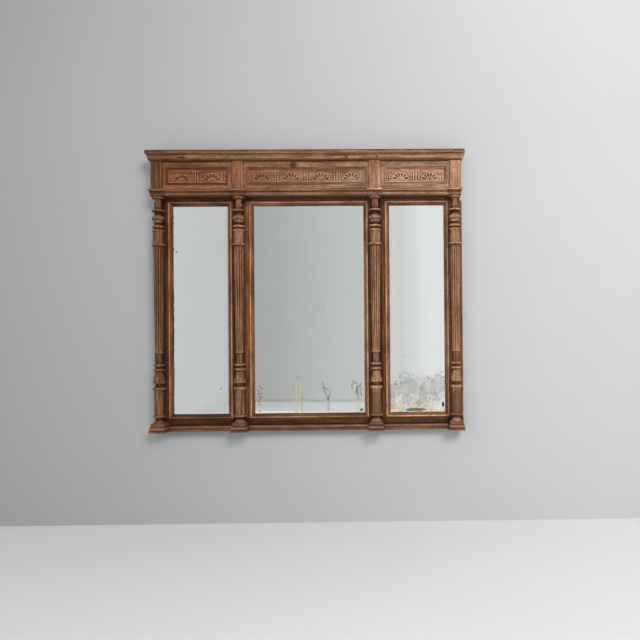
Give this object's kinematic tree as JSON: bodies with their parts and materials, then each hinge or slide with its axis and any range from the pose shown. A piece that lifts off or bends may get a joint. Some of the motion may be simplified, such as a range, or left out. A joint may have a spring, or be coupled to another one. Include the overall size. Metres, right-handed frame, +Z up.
{
  "type": "wall mirror",
  "caption": "Wide wall mirror with fixed panes in an oak architectural frame: crown cornice, carved frieze panels, turned fluted columns on square plinths and a base moulding.",
  "frame": {"origin": "midway between the entry holes of the two hanging plates, on the wall plane", "axes": "+X to the viewer's right along the width, +Z up, the front faces -Y and the wall is the plane Y = 0"},
  "size_m": [1.8, 0.134, 1.588],
  "materials": {
    "oak": "old waxed oak, medium brown, worn",
    "mirror": "silvered glass with aged spots",
    "backing": "plain thin softwood backboard",
    "plate": "dull steel"
  },
  "bodies": {
    "root": {"architrave_centre": "oak", "architrave_left": "oak", "architrave_right": "oak", "base_moulding_centre": "oak", "base_moulding_left": "oak", "base_moulding_right": "oak", "bottom_rail": "oak", "capital_block_far_left": "oak", "capital_block_far_right": "oak", "capital_block_left": "oak", "capital_block_right": "oak", "column_far_left": "oak", "column_far_right": "oak", "column_left": "oak", "column_right": "oak", "cornice_front": "oak", "cornice_return_left": "oak", "cornice_return_right": "oak", "frieze_block_far_left": "oak", "frieze_block_far_right": "oak", "frieze_block_left": "oak", "frieze_block_right": "oak", "frieze_end_left": "oak", "frieze_end_right": "oak", "frieze_panel_centre": "oak", "frieze_panel_left": "oak", "frieze_panel_right": "oak", "frieze_rail_bottom": "oak", "frieze_rail_top": "oak", "frieze_stile_far_left": "oak", "frieze_stile_far_right": "oak", "frieze_stile_left": "oak", "frieze_stile_right": "oak", "glazing_beads": "oak", "hanging_plate_left": "plate", "hanging_plate_right": "plate", "head_board": "oak", "mirror_backboard_centre": "backing", "mirror_backboard_left": "backing", "mirror_backboard_right": "backing", "mirror_frame_centre": "oak", "mirror_frame_left": "oak", "mirror_frame_right": "oak", "mirror_glass_centre": "mirror", "mirror_glass_left": "mirror", "mirror_glass_right": "mirror", "panel_moulding_centre": "oak", "panel_moulding_left": "oak", "panel_moulding_right": "oak", "plinth_far_left": "oak", "plinth_far_right": "oak", "plinth_left": "oak", "plinth_right": "oak", "soffit_board": "oak", "stile_far_left": "oak", "stile_far_right": "oak", "stile_left": "oak", "stile_right": "oak", "top_board": "oak"}
  },
  "joints": []
}
